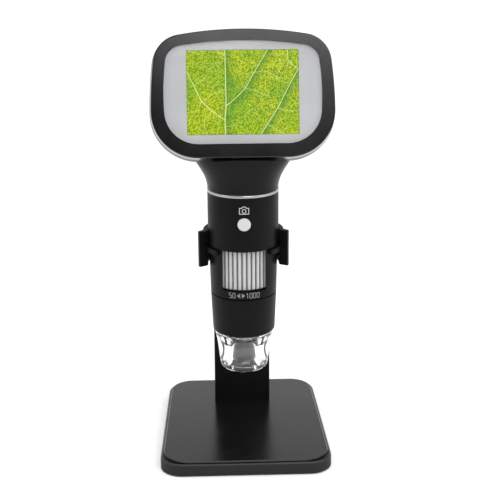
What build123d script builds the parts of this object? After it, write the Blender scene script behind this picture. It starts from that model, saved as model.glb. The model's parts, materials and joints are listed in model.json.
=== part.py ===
from build123d import *
from math import cos, pi, radians, sin, tan
import os

# LCD digital microscope on its stand.
# Millimetres. +X is the user's right, +Y points to the back, +Z is up.
# The origin is the middle of the base, on the surface that the stand rests on.

# ---- Stand: driving dimensions ----
BASE_FRONT_W, BASE_BACK_W = 81.8, 76.6   # the base narrows a little to the back
BASE_D = 97.0
BASE_TOP = 7.2                   # height of the raised platform
RIM_TOP, RIM_ROUND = 6.3, 1.0    # height of the outer rim, and the rounding of its top edge
BASE_FRONT_R, BASE_BACK_R = 10.5, 12.5   # plan radii of the corners
PLATFORM_INSET, PLATFORM_EASE = 1.3, 3.0     # inside the rim, and rounder at its front corners
GROOVE_W, GROOVE_DEPTH = 0.3, 0.4            # groove around the platform
BASE_WALL, BASE_SKIN = 2.2, 2.3              # side wall and top thickness
FOOT_R, FOOT_PROUD, FOOT_H = 4.5, 0.6, 1.6
FOOT_X, FOOT_Y = 28.0, 37.0
COVER_T = 1.6                    # bottom cover
POST_X, POST_Y, POST_R = 28.0, 17.0, 3.4
WEIGHT_T = 2.4

COLUMN_W, COLUMN_T = 28.5, 7.0
COLUMN_FRONT = 20.3              # y of the column's front face
COLUMN_TOP = 152.0
POCKET_DEPTH = 2.0               # the column's foot is let into the base
SLOT_W, SLOT_LOW, SLOT_HIGH = 6.4, 62.0, 144.0

# ---- Holder: driving dimensions ----
BARREL_Y = -19.1                 # the microscope's vertical axis is x = 0, y = BARREL_Y
CRADLE_IN, CRADLE_OUT = 16.6, 18.6
CRADLE_LOW, CRADLE_HIGH = 95.6, 112.4
EAR_SPAN = 42.0                  # over both ears
BAND_IN, BAND_TIP = 16.15, 17.8  # hook band under the barrel's step
BAND_LOW, BAND_HIGH = 103.0, 105.35
SADDLE_HALF = 15.8
CLAMP_Z = 104.0                  # height of the clamping screw
STUD_R = 2.5
KNOB_R, KNOB_LOBES = 10.5, 8

# ---- Microscope barrel: driving dimensions ----
UPPER_R = 16.4
STEP_Z, RING_Z, NECK_Z = 105.5, 130.7, 132.1
MIDDLE_TOP_R = 15.95             # just below the step
SEAM_R, SEAM_Z, SEAM_GAP = 15.4, 82.0, 0.5
SLEEVE_LOW_R, SLEEVE_LOW = 14.6, 63.5
SPIGOT_R, SPIGOT_TOP = 13.8, 86.0
WHEEL_BORE, WHEEL_R = 14.5, 14.2
WHEEL_LOW, WHEEL_HIGH = 86.4, 106.6
WHEEL_INNER, WHEEL_BEVEL = 12.2, 0.7
RIBS, RIB_R, RIB_DEPTH = 40, 0.83, 1.2
WINDOW_HALF, WINDOW_LOW = 9.9, 86.2
CELL_BORE = 9.0                  # the wheel's threaded bore
BUTTON_Z, BUTTON_R, BUTTON_PROUD = 118.7, 3.0, 0.5

# ---- Lens, light ring and clear tip ----
CARRIER_R, CARRIER_LOW, CARRIER_TOP = 8.95, 72.0, 98.0
NOSE_R, NOSE_BORE, NOSE_LOW = 5.25, 4.0, 49.0
GUIDE_R, GUIDE_LOW = 6.2, 86.0
FLANGE_LOW, FLANGE_T = 107.0, 2.0
LED_BOARD_LOW, LED_BOARD_T = 66.3, 1.2
LED_COUNT, LED_CIRCLE, LED_SIZE = 8, 9.4, 2.6
TIP_TOP, TIP_LOW = 63.3, 43.95
TIP_TOP_R, TIP_LOW_R = 14.0, 8.8
TIP_WAIST_R, TIP_WAIST_Z = 12.3, 54.5
TIP_FOOT_R, TIP_FOOT_Z = 11.25, 46.2
BORE_TOP_R, BORE_TOP_Z = 10.0, 62.0      # the tip's bore narrows to a waist in its thick wall
BORE_WAIST_R, BORE_WAIST_Z = 6.6, 54.5
BORE_LOW_R, BORE_LOW_Z = 8.2, 46.35
TIP_APERTURE = 5.9

# ---- Head: driving dimensions ----
HEAD_TILT = 15.0                 # the screen leans back by this angle
FACE_CENTRE = Vector(0, -33.05, 177.7)
# Arched trapezoids: half height; half widths at the top, side and foot; rise of the top
# edge; radii of the top and lower corners.
HEAD_SHAPE = 28.0, 37.4, 40.3, 39.2, 4.3, 12.9, 20.5
HEAD_DRAFT = 5.5                 # the side wall spreads to the rear by this angle
WINDOW_SHAPE = 22.6, 33.0, 34.8, 33.0, 3.0, 7.9, 14.9
WINDOW_RISE = 0.6                # the window sits above the head's middle
BEZEL_T, HEAD_T, SHELL_WALL = 6.0, 20.0, 2.0
FRONT_ROUND, REAR_ROUND = 0.7, 7.0
GLASS_FRONT, GLASS_T, GLASS_GAP = 0.35, 1.1, 0.08
LEDGE_W, LEDGE_BACK = 2.0, 3.0
PANEL_W, PANEL_H, PANEL_T, PANEL_V = 60.0, 42.6, 1.6, 0.5
BOARD_FRONT, BOARD_T = 8.6, 1.2
BOSS_X, BOSS_V, BOSS_R = 33.3, (17.0, -9.0), 2.8
PORT_V = 3.5                     # both side sockets sit at this place up the face
USB_END, CARD_END = 40.3, 38.6   # how far both reach out to the side
NECK_R, NECK_RISE, NECK_SECTIONS = 16.3, 33.0, 12
NECK_FLARE, NECK_FLARE_RISE = 10.3, 26.0     # widening to each side, and the height it takes
NECK_CHIN, NECK_CHIN_RISE = 2.8, 20.0        # swelling to the front, and the height it takes
NECK_TUCK = 15.0                             # how far the rear draws in towards the head
REAR_KEYS = {"power_button": -21.0, "up_button": -7.0, "down_button": 7.0, "menu_button": 21.0}
KEY_V, KEY_R, KEY_PROUD = 15.5, 3.2, 0.8

SLIDE_GAP = 0.2                  # between flat faces that slide
KEY_GAP = 0.2                    # around every push button

NORMAL = Vector(0, -cos(radians(HEAD_TILT)), sin(radians(HEAD_TILT)))
HEAD = Plane(origin=FACE_CENTRE, x_dir=(1, 0, 0), z_dir=NORMAL)
AXIS = Pos(0, BARREL_Y, 0)       # moves a turned shape onto the barrel's axis
COVER_TOP = FOOT_PROUD + COVER_T
COLUMN_BACK = COLUMN_FRONT + COLUMN_T


# ---- Helpers ----
def block(x, y, z):
    """A box given by its (low, high) pair along each axis."""
    size = [high - low for low, high in (x, y, z)]
    middle = [(high + low) / 2 for low, high in (x, y, z)]
    return Pos(*middle) * Box(*size)


def tube(outer, inner, low, high):
    """A tube on the barrel's axis."""
    return AXIS * Pos(0, 0, low) * extrude(Circle(outer) - Circle(inner), high - low)


def disc(radius, low, high):
    return AXIS * Pos(0, 0, low) * extrude(Circle(radius), high - low)


def turned(points):
    """A closed (radius, height) outline turned about the barrel's axis."""
    return AXIS * revolve(Plane.XZ * make_face(Polyline(*points, close=True)), Axis.Z)


def rod(radius, start, end, x=0.0, z=0.0):
    """A round bar along Y."""
    return Pos(x, start, z) * Rot(-90, 0, 0) * extrude(Circle(radius), end - start)


def ribbon(points, thickness, half_width):
    """A flat flexible cable: a path in the YZ plane, given width along X."""
    path = Polyline(*points)
    strip = trace(path, line_width=thickness)
    return extrude(Plane.YZ * strip, half_width, both=True)


def screw(length, shank, head_r, head_h):
    """A cross-head screw along +Z, its head from 0 down to -head_h."""
    body = extrude(Circle(shank), length) + Pos(0, 0, -head_h) * extrude(Circle(head_r), head_h)
    slot = Box(head_r, 0.6, 1.2) + Box(0.6, head_r, 1.2)
    return body - Pos(0, 0, -head_h) * slot


def barrel_radius(z):
    """Outer radius of the barrel's tapered lower part."""
    if z < SEAM_Z:
        return SLEEVE_LOW_R + (SEAM_R - SLEEVE_LOW_R) * (z - SLEEVE_LOW) / (SEAM_Z - SLEEVE_LOW)
    return SEAM_R + (MIDDLE_TOP_R - SEAM_R) * (z - SEAM_Z) / (STEP_Z - SEAM_Z)


def corners(x, y):
    return [(sx * x, sy * y) for sx in (-1, 1) for sy in (-1, 1)]


# ---- Stand ----
def base_plate(inset, low, high, ease=0.0):
    """A slab with the base's plan, drawn in by an inset, its front corners eased by more."""
    front, back = BASE_FRONT_W / 2 - inset, BASE_BACK_W / 2 - inset
    half = BASE_D / 2 - inset
    plan = make_face(Polyline((-front, -half), (front, -half), (back, half), (-back, half),
                              close=True))
    plan = fillet(plan.vertices().group_by(Axis.Y)[0], BASE_FRONT_R - inset + ease)
    plan = fillet(plan.vertices().group_by(Axis.Y)[-1], BASE_BACK_R - inset)
    return Pos(0, 0, low) * extrude(plan, high - low)


COLUMN_HOLE_X = 8.5
PAD_LOW = 3.4                    # underside of the thick pad below the column
PAD_X, PAD_Y = 17.0, 6.5         # half sizes of that pad
COLUMN_MID = COLUMN_FRONT + COLUMN_T / 2


def make_base_shell():
    rim = base_plate(0, FOOT_PROUD, RIM_TOP)
    rim = fillet(rim.edges().group_by(Axis.Z)[-1], RIM_ROUND)
    platform = base_plate(PLATFORM_INSET, RIM_TOP - 1, BASE_TOP, PLATFORM_EASE)
    groove = base_plate(PLATFORM_INSET - GROOVE_W, RIM_TOP - GROOVE_DEPTH, BASE_TOP) - platform
    platform = chamfer(platform.edges().group_by(Axis.Z)[-1], 0.4)
    cavity = base_plate(BASE_WALL, FOOT_PROUD, BASE_TOP - BASE_SKIN)
    shell = rim + platform - groove - cavity
    pad = block((-PAD_X, PAD_X), (COLUMN_MID - PAD_Y, COLUMN_MID + PAD_Y), (PAD_LOW, BASE_TOP - 2))
    shell += pad
    for x, y in corners(POST_X, POST_Y):
        shell += Pos(x, y, COVER_TOP) * extrude(Circle(POST_R), BASE_TOP - 2 - COVER_TOP)
    pocket = block((-COLUMN_W / 2 - 0.05, COLUMN_W / 2 + 0.05),
                   (COLUMN_FRONT - 0.05, COLUMN_BACK + 0.05),
                   (BASE_TOP - POCKET_DEPTH, BASE_TOP + 1))
    shell -= pocket
    for x, y in corners(POST_X, POST_Y):
        shell -= Pos(x, y, COVER_TOP) * extrude(Circle(1.2), 4)
    for x in (-COLUMN_HOLE_X, COLUMN_HOLE_X):
        shell -= Pos(x, COLUMN_MID, PAD_LOW) * extrude(Circle(2.0), 10)
    return shell


def make_base_cover():
    cover = base_plate(BASE_WALL + 0.1, FOOT_PROUD, COVER_TOP)
    for x, y in corners(POST_X, POST_Y):
        cover -= Pos(x, y, FOOT_PROUD) * extrude(Circle(1.8), COVER_T)
        cover -= Pos(x, y, FOOT_PROUD) * extrude(Circle(3.0), 1.0)
    for x, y in corners(FOOT_X, FOOT_Y):
        cover -= Pos(x, y, 0) * extrude(Circle(FOOT_R + 0.05), FOOT_H)
    return cover


def make_base_weight():
    low = COVER_TOP + 0.1
    weight = base_plate(BASE_WALL + 1.0, low, low + WEIGHT_T)
    for x, y in corners(POST_X, POST_Y):
        weight -= Pos(x, y, 0) * extrude(Circle(POST_R + 0.4), 10)
    window = block((-PAD_X - 1, PAD_X + 1), (COLUMN_MID - PAD_Y - 1, COLUMN_MID + PAD_Y + 1),
                   (0, 10))
    return weight - window


def make_base_feet():
    foot = extrude(Circle(FOOT_R), FOOT_H)
    foot = chamfer(foot.edges().group_by(Axis.Z)[0], 0.3)
    return [Pos(x, y, 0) * foot for x, y in corners(FOOT_X, FOOT_Y)]


def make_base_screws():
    fixing = screw(4.2, 1.15, 2.8, 0.9)
    return [Pos(x, y, FOOT_PROUD + 1.0) * fixing for x, y in corners(POST_X, POST_Y)]


def make_column():
    low = BASE_TOP - POCKET_DEPTH
    post = block((-COLUMN_W / 2, COLUMN_W / 2), (COLUMN_FRONT, COLUMN_BACK), (low, COLUMN_TOP))
    top_corners = post.edges().filter_by(Axis.Y).group_by(Axis.Z)[-1]
    post = fillet(top_corners, 6.0)
    front = post.faces().sort_by(Axis.Y)[0]
    back = post.faces().sort_by(Axis.Y)[-1]
    rim = (front.edges() + back.edges()).filter_by(lambda e: e.center().Z > low + 1)
    post = fillet(rim, 0.7)
    middle = (SLOT_LOW + SLOT_HIGH) / 2
    slot = Pos(0, COLUMN_FRONT - 1, middle) * Rot(-90, 0, 0) * extrude(
        Rot(0, 0, 90) * SlotOverall(SLOT_HIGH - SLOT_LOW, SLOT_W), COLUMN_T + 2)
    post -= slot
    for x in (-COLUMN_HOLE_X, COLUMN_HOLE_X):
        post -= Pos(x, COLUMN_MID, low) * extrude(Circle(1.5), 11)
    return post


def make_column_screws():
    fixing = screw(11.0, 1.45, 2.9, 1.0)
    return [Pos(x, COLUMN_MID, PAD_LOW) * fixing for x in (-COLUMN_HOLE_X, COLUMN_HOLE_X)]


# ---- Holder that slides on the column ----
SADDLE_FRONT = COLUMN_FRONT - SLIDE_GAP - 2.5
SADDLE_BACK = COLUMN_FRONT - SLIDE_GAP
CHEEK_IN = COLUMN_W / 2 + SLIDE_GAP
INSERT_R, INSERT_START = 3.5, COLUMN_FRONT - 7.4
CRADLE_END = 2.5                 # the cradle reaches this far in front of its axis


def make_ear(side):
    """One flat ear, flared forward and outward from an end of the cradle."""
    half = EAR_SPAN / 2
    plan = [(CRADLE_IN + 0.2, -3.4), (half - 0.7, -5.6), (half, -3.9), (CRADLE_OUT - 0.1, -1.2),
            (CRADLE_IN + 0.4, -1.2)]
    ear = Pos(0, 0, CRADLE_LOW) * extrude(make_face(Polyline(*plan, close=True)),
                                          CRADLE_HIGH - CRADLE_LOW)
    return AXIS * (ear if side > 0 else mirror(ear, Plane.YZ))


def make_holder_clip():
    wall = tube(CRADLE_OUT, CRADLE_IN, CRADLE_LOW, CRADLE_HIGH)
    wall -= block((-30, 30), (BARREL_Y - 30, BARREL_Y - CRADLE_END), (CRADLE_LOW - 1, CRADLE_HIGH + 1))
    arm = block((-8.5, 8.5), (BARREL_Y + CRADLE_IN, SADDLE_BACK), (CRADLE_LOW + 1.5, CRADLE_HIGH - 1.5))
    arm -= disc(CRADLE_OUT - 0.5, CRADLE_LOW, CRADLE_HIGH)
    saddle = block((-SADDLE_HALF, SADDLE_HALF), (SADDLE_FRONT, SADDLE_BACK), (93.0, 115.0))
    for side in (-1, 1):
        saddle += block(sorted((side * CHEEK_IN, side * SADDLE_HALF)),
                        (SADDLE_FRONT, COLUMN_BACK - 0.6), (93.0, 115.0))
    saddle = fillet(saddle.edges().filter_by(Axis.Y).group_by(Axis.X)[0], 2.0)
    saddle = fillet(saddle.edges().filter_by(Axis.Y).group_by(Axis.X)[-1], 2.0)
    rear_band = tube(CRADLE_OUT, BAND_IN, BAND_LOW, BAND_HIGH)
    rear_band -= block((-30, 30), (BARREL_Y - 30, BARREL_Y - CRADLE_END), (90, 120))
    hook_band = tube(BAND_TIP, BAND_IN, BAND_LOW, BAND_HIGH)
    mouth = make_face(Polyline((0, 0), (-30, -30), (30, -30), close=True))
    hook_band -= AXIS * Pos(0, 0, 90) * extrude(mouth, 30)
    tips = hook_band.edges().filter_by(Axis.Z)
    hook_band = fillet(tips, 0.7)
    clip = wall + arm + saddle + rear_band + hook_band
    for side in (-1, 1):
        clip += make_ear(side)
    bore = rod(STUD_R + 0.15, INSERT_START - 5.0, SADDLE_BACK + 1, z=CLAMP_Z)
    seat = rod(INSERT_R, INSERT_START, SADDLE_BACK + 1, z=CLAMP_Z)
    return clip - bore - seat


def make_clamp_insert():
    outer = rod(INSERT_R, INSERT_START, SADDLE_BACK - 0.1, z=CLAMP_Z)
    return outer - rod(STUD_R + 0.05, INSERT_START - 1, SADDLE_BACK + 1, z=CLAMP_Z)


PLATE_FRONT, PLATE_T = COLUMN_BACK + SLIDE_GAP, 2.6
PLATE_BACK = PLATE_FRONT + PLATE_T


def make_clamp_plate():
    plate = block((-SADDLE_HALF, SADDLE_HALF), (PLATE_FRONT, PLATE_BACK), (94.5, 113.5))
    plate = fillet(plate.edges().filter_by(Axis.Y), 3.0)
    plate = chamfer(plate.faces().sort_by(Axis.Y)[-1].edges(), 0.5)
    key_half = SLOT_W / 2 - SLIDE_GAP
    plate += block((-key_half, key_half), (COLUMN_BACK - 3.0, PLATE_FRONT), (98.0, 110.0))
    return plate - rod(STUD_R + 0.3, 0, PLATE_BACK + 1, z=CLAMP_Z)


KNOB_FRONT = PLATE_BACK + 0.3
KNOB_BACK = KNOB_FRONT + 10.0


def make_clamp_knob():
    hub = rod(6.0, KNOB_FRONT, KNOB_FRONT + 3, z=CLAMP_Z)
    outline = Circle(KNOB_R)
    for turn in range(KNOB_LOBES):
        angle = 360 / KNOB_LOBES * turn
        outline -= Rot(0, 0, angle) * Pos(KNOB_R + 1.6, 0) * Circle(3.0)
    grip = extrude(outline, KNOB_BACK - KNOB_FRONT - 2)
    grip = fillet(grip.edges().group_by(Axis.Z)[-1], 0.8)
    grip = Pos(0, KNOB_FRONT + 2, CLAMP_Z) * Rot(-90, 0, 0) * grip
    return hub + grip - rod(STUD_R, 0, KNOB_BACK - 3, z=CLAMP_Z)


def make_clamp_stud():
    stud = rod(STUD_R, INSERT_START + 1, KNOB_BACK - 3, z=CLAMP_Z)
    return chamfer(stud.edges().sort_by(Axis.Y)[0], 0.5)


# ---- Barrel shells ----
def make_upper_barrel():
    shell = tube(UPPER_R, 14.6, STEP_Z, RING_Z)
    shell = fillet(shell.edges().group_by(Axis.Z)[0].sort_by(SortBy.LENGTH)[-1], 0.35)
    shell -= disc(15.4, STEP_Z - 1, 110.2)
    return shell - rod(BUTTON_R + KEY_GAP, BARREL_Y - 20, BARREL_Y - 5, z=BUTTON_Z)


def make_trim_ring():
    ring = tube(UPPER_R + 0.15, 14.6, RING_Z, NECK_Z)
    outer = ring.edges().filter_by(GeomType.CIRCLE).filter_by(lambda e: e.radius > UPPER_R)
    return fillet(outer, 0.35)


def make_middle_barrel():
    low, top = SEAM_Z + SEAM_GAP, 109.8
    shell = turned([
        (SPIGOT_R + 0.1, low), (barrel_radius(low), low), (MIDDLE_TOP_R, STEP_Z),
        (15.3, STEP_Z), (15.3, top), (WHEEL_BORE, top),
        (WHEEL_BORE, SPIGOT_TOP + 0.2), (SPIGOT_R + 0.1, SPIGOT_TOP + 0.2)])
    window = block((-WINDOW_HALF, WINDOW_HALF), (BARREL_Y - 20, BARREL_Y), (WINDOW_LOW, STEP_Z))
    return shell - window


def make_lower_sleeve():
    shell = turned([
        (12.8, SLEEVE_LOW), (SLEEVE_LOW_R - 0.5, SLEEVE_LOW), (SLEEVE_LOW_R, SLEEVE_LOW + 0.6),
        (barrel_radius(SEAM_Z), SEAM_Z), (SPIGOT_R, SEAM_Z), (SPIGOT_R, SPIGOT_TOP),
        (12.3, SPIGOT_TOP), (12.3, 68.7), (11.6, 68.7), (11.6, 67.6), (12.8, 67.6)])
    return shell


# ---- Focus wheel, lens and sensor ----
def make_focus_wheel():
    """A ring of rounded ribs with bevelled ends, its web and its threaded bore."""
    outline = Circle(WHEEL_R - RIB_DEPTH)
    rib = Pos(WHEEL_R - RIB_DEPTH, 0) * SlotOverall(2 * RIB_DEPTH, 2 * RIB_R)
    for turn in range(RIBS):
        outline += Rot(0, 0, 360 / RIBS * turn) * rib
    outline -= Circle(WHEEL_INNER)
    rim = AXIS * Pos(0, 0, WHEEL_LOW) * extrude(outline, WHEEL_HIGH - WHEEL_LOW)
    rim &= turned([
        (WHEEL_INNER - 1, WHEEL_LOW), (WHEEL_R - WHEEL_BEVEL, WHEEL_LOW),
        (WHEEL_R, WHEEL_LOW + WHEEL_BEVEL), (WHEEL_R + 1, WHEEL_LOW + WHEEL_BEVEL + 1),
        (WHEEL_R + 1, WHEEL_HIGH), (WHEEL_INNER - 1, WHEEL_HIGH)])
    web = tube(WHEEL_INNER + 0.2, CELL_BORE + 1.0, 95.0, 97.5)
    cell = tube(CELL_BORE + 1.4, CELL_BORE, 88.5, 105.0)
    return rim + web + cell


def make_lens_carrier():
    barrel = tube(CARRIER_R, GUIDE_R + 0.25, CARRIER_LOW + 1.5, CARRIER_TOP)
    floor = tube(CARRIER_R, NOSE_BORE, CARRIER_LOW, CARRIER_LOW + 1.5)
    nose = turned([
        (NOSE_BORE, NOSE_LOW), (NOSE_R - 0.8, NOSE_LOW), (NOSE_R, NOSE_LOW + 1.2),
        (NOSE_R, CARRIER_LOW), (NOSE_BORE, CARRIER_LOW)])
    keyway = block((-0.8, 0.8), (BARREL_Y - 7.6, BARREL_Y + 7.6), (CARRIER_LOW + 1.5, CARRIER_TOP))
    return barrel + floor + nose - keyway


def make_lens_elements():
    """Three plano-convex lenses, each a disc cut by a sphere."""
    radius = NOSE_BORE - 0.02
    lenses = []
    for z, edge, bulge in ((50.2, 1.6, 1.1), (58.2, 1.2, 0.6), (65.7, 1.6, 0.9)):
        curve = (radius ** 2 + bulge ** 2) / (2 * bulge)
        ball = AXIS * Pos(0, 0, z + edge + bulge - curve) * Sphere(curve)
        lenses.append(disc(radius, z, z + edge + bulge) & ball)
    return lenses


def make_lens_guide():
    flange = tube(WHEEL_BORE - 0.05, GUIDE_R - 1, FLANGE_LOW, FLANGE_LOW + FLANGE_T)
    guide = tube(GUIDE_R, GUIDE_R - 1, GUIDE_LOW, FLANGE_LOW + 1)
    keys = block((-0.6, 0.6), (BARREL_Y - 7.2, BARREL_Y + 7.2), (GUIDE_LOW, FLANGE_LOW + 1))
    keys -= disc(GUIDE_R - 0.5, GUIDE_LOW - 1, FLANGE_LOW + 2)
    half = 8.0
    seat = (-half, half), (BARREL_Y - half, BARREL_Y + half), (FLANGE_LOW + 1, 112.0)
    housing = block(*seat)
    inner = half - 2.0
    housing -= block((-inner, inner), (BARREL_Y - inner, BARREL_Y + inner), (100, 120))
    return flange + guide + keys + housing


def make_sensor_board():
    board = disc(13.0, 112.0, 113.2)
    clear = block((-20, 20), (BARREL_Y - 20, BARREL_Y - 12.0), (110, 115))
    return board - clear


def make_image_sensor():
    half = 4.0
    package = block((-half, half), (BARREL_Y - half, BARREL_Y + half), (110.4, 112.0))
    return package - block((-3.0, 3.0), (BARREL_Y - 3.0, BARREL_Y + 3.0), (110.0, 110.8))


def make_led_board():
    return tube(12.7, 6.2, LED_BOARD_LOW, LED_BOARD_LOW + LED_BOARD_T)


def make_leds():
    lamps = []
    for turn in range(LED_COUNT):
        body = Box(LED_SIZE, LED_SIZE, 1.0, align=(Align.CENTER, Align.CENTER, Align.MAX))
        body = chamfer(body.edges().group_by(Axis.Z)[0], 0.25)
        spot = AXIS * Rot(0, 0, 360 / LED_COUNT * (turn + 0.5)) * Pos(LED_CIRCLE, 0, LED_BOARD_LOW)
        lamps.append(spot * body)
    return lamps


def make_clear_tip():
    """Thick clear cup with a spigot on top, a waisted bore and an aperture in its floor."""
    edges = [
        Line((12.75, 66.0), (12.75, TIP_TOP)),
        Line((12.75, TIP_TOP), (TIP_TOP_R, TIP_TOP)),
        ThreePointArc((TIP_TOP_R, TIP_TOP), (12.95, 59.0), (TIP_WAIST_R, TIP_WAIST_Z)),
        Line((TIP_WAIST_R, TIP_WAIST_Z), (TIP_FOOT_R, TIP_FOOT_Z)),
        ThreePointArc((TIP_FOOT_R, TIP_FOOT_Z), (10.5, 44.68), (TIP_LOW_R, TIP_LOW)),
        Line((TIP_LOW_R, TIP_LOW), (TIP_APERTURE, TIP_LOW)),
        Line((TIP_APERTURE, TIP_LOW), (TIP_APERTURE, BORE_LOW_Z)),
        Line((TIP_APERTURE, BORE_LOW_Z), (BORE_LOW_R, BORE_LOW_Z)),
        ThreePointArc((BORE_LOW_R, BORE_LOW_Z), (BORE_WAIST_R, BORE_WAIST_Z),
                      (BORE_TOP_R, BORE_TOP_Z)),
        Line((BORE_TOP_R, BORE_TOP_Z), (11.6, BORE_TOP_Z + 0.4)),
        Line((11.6, BORE_TOP_Z + 0.4), (11.6, 66.0)),
        Line((11.6, 66.0), (12.75, 66.0))]
    return AXIS * revolve(Plane.XZ * make_face(edges), Axis.Z)


# ---- Capture button and its switch ----
def make_capture_button():
    front = BARREL_Y - UPPER_R - BUTTON_PROUD
    cap = rod(BUTTON_R, front, BARREL_Y - 13.0, z=BUTTON_Z)
    cap = fillet(cap.edges().sort_by(Axis.Y)[0], 0.5)
    flange = rod(BUTTON_R + 0.8, BARREL_Y - 13.8, BARREL_Y - 13.0, z=BUTTON_Z)
    stem = rod(1.4, BARREL_Y - 13.0, BARREL_Y - 12.4, z=BUTTON_Z)
    return cap + flange + stem


def make_capture_switch():
    half = 2.6
    body = block((-half, half), (BARREL_Y - 11.3, BARREL_Y - 10.0), (BUTTON_Z - half, BUTTON_Z + half))
    return body + rod(1.3, BARREL_Y - 11.8, BARREL_Y - 11.3, z=BUTTON_Z)


def make_button_board():
    return block((-6, 6), (BARREL_Y - 10.0, BARREL_Y - 9.0), (113.2, 125.5))


# ---- Head ----
def arched_outline(shape, inset=0.0):
    """A trapezoid with an arched top, bowed sides and large lower corners."""
    half_h, top_half, side_half, low_half = (size - inset for size in shape[:4])
    top_r, low_r = (radius - inset for radius in shape[5:])
    top, low = half_h - shape[4], -half_h
    edges = [ThreePointArc((-top_half, top), (0, half_h), (top_half, top)),
             Line((-low_half, low), (low_half, low))]
    for side in (-1, 1):
        edges.append(ThreePointArc((side * top_half, top), (side * side_half, -5.0),
                                   (side * low_half, low)))
    outline = make_face(edges)
    outline = fillet(outline.vertices().group_by(Axis.Y)[-1], top_r)
    outline = fillet(outline.vertices().group_by(Axis.Y)[0], low_r)
    return make_face(outline.edges())    # made anew, so that it faces +Z


def glass_outline(inset=0.0):
    return Pos(0, WINDOW_RISE) * arched_outline(WINDOW_SHAPE, inset)


def head_slab(inset, front, back, rounding=0.0):
    """The head between two depths behind its face, which lies in z = 0 here."""
    rear_outline = arched_outline(HEAD_SHAPE, inset - back * tan(radians(HEAD_DRAFT)))
    slab = Pos(0, 0, -back) * extrude(rear_outline, back - front, taper=HEAD_DRAFT)
    if rounding:
        slab = fillet(slab.edges().group_by(Axis.Z)[0], rounding)
    return slab


def swell(rise, span):
    """Goes smoothly from 0 to 1 as the rise goes from 0 to the span, and back again after it."""
    return (1 - cos(pi * rise / span)) / 2


def neck_horn(inset=0.0):
    """The flared neck: round at the barrel, wide where it runs into the head's underside."""
    faces = []
    for step in range(NECK_SECTIONS):
        rise = NECK_RISE * step / (NECK_SECTIONS - 1)
        half = NECK_R + NECK_FLARE * swell(rise, NECK_FLARE_RISE)
        front = NECK_R + NECK_CHIN * swell(rise, NECK_CHIN_RISE)     # reach in front of the axis
        rear = NECK_R - NECK_TUCK * (rise / NECK_RISE) ** 1.8        # reach behind it
        spot = Pos(0, BARREL_Y + (rear - front) / 2, NECK_Z + rise)
        faces.append(spot * Ellipse(half - inset, (rear + front) / 2 - inset))
    return loft(faces)


def head_block(u, v, depth):
    """A box in the head's own directions: across, up the face, and depth behind it."""
    return HEAD * block(u, v, (-depth[1], -depth[0]))


def head_rod(radius, u, v, front, back):
    return HEAD * Pos(u, v, -back) * extrude(Circle(radius), back - front)


def boss_places():
    return [(side * BOSS_X, v) for side in (-1, 1) for v in BOSS_V]


def make_rear_shell():
    outer = HEAD * head_slab(0, BEZEL_T, HEAD_T, REAR_ROUND) + neck_horn()
    outer -= HEAD * head_slab(-1.0, -5.0, BEZEL_T)
    inner = HEAD * head_slab(SHELL_WALL, BEZEL_T - 3, HEAD_T - SHELL_WALL,
                             REAR_ROUND - SHELL_WALL)
    horn = neck_horn(SHELL_WALL) - HEAD * head_slab(-1.0, -5.0, BEZEL_T + 1.0)
    shell = outer - inner - horn
    shell += tube(14.5, 12.7, 126.0, NECK_Z + 1.5)
    shell -= disc(12.7, 120.0, NECK_Z + 4)
    for u, v in boss_places():
        shell += head_rod(BOSS_R, u, v, BEZEL_T, HEAD_T - 1)
        shell -= head_rod(1.3, u, v, 0, HEAD_T + 1)
        shell -= head_rod(2.3, u, v, HEAD_T - 4.0, HEAD_T + 1)
    for u in REAR_KEYS.values():
        shell -= head_rod(KEY_R + KEY_GAP, u, KEY_V, HEAD_T - 4, HEAD_T + 1)
    depth = BOARD_FRONT + BOARD_T
    shell -= head_block((34, 45), (PORT_V - 4.1, PORT_V + 4.1), (depth - 0.1, depth + 2.9))
    shell -= head_block((-45, -34), (PORT_V - 5.8, PORT_V + 5.8), (depth + 0.1, depth + 1.5))
    return shell


def make_front_bezel():
    frame = head_slab(0, 0, BEZEL_T)
    frame = fillet(frame.edges().group_by(Axis.Z)[-1], FRONT_ROUND)
    opening = glass_outline()
    frame -= Pos(0, 0, -GLASS_FRONT - GLASS_T) * extrude(opening, 10)
    frame -= Pos(0, 0, -10) * extrude(glass_outline(LEDGE_W), 20)
    frame -= head_slab(SHELL_WALL, LEDGE_BACK, BEZEL_T)
    for u, v in boss_places():
        post = Pos(u, v, -BEZEL_T) * extrude(Circle(BOSS_R), BEZEL_T - LEDGE_BACK + 0.5)
        frame += post - Pos(0, 0, -LEDGE_BACK) * extrude(glass_outline(), 5)
        frame -= Pos(u, v, -BEZEL_T) * extrude(Circle(1.0), BEZEL_T - LEDGE_BACK)
    return HEAD * frame


def make_display_window():
    glass = extrude(glass_outline(GLASS_GAP), GLASS_T)
    return HEAD * Pos(0, 0, -GLASS_FRONT - GLASS_T) * glass


PANEL_FRONT = LEDGE_BACK + 0.1


def make_lcd_panel():
    half_w, half_h = PANEL_W / 2, PANEL_H / 2
    return head_block((-half_w, half_w), (PANEL_V - half_h, PANEL_V + half_h),
                      (PANEL_FRONT, PANEL_FRONT + PANEL_T))


def make_backlight():
    half_w, half_h = PANEL_W / 2 - 1, PANEL_H / 2 - 1
    start = PANEL_FRONT + PANEL_T
    return head_block((-half_w, half_w), (PANEL_V - half_h, PANEL_V + half_h), (start, start + 1.6))


BOARD_LOW_V, BOARD_HIGH_V = -18.0, 20.5


def make_main_board():
    depth = (BOARD_FRONT, BOARD_FRONT + BOARD_T)
    board = head_block((-27, 27), (BOARD_LOW_V, BOARD_HIGH_V), depth)
    return board + head_block((-34, 34), (PORT_V - 6, PORT_V + 6), depth)


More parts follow.
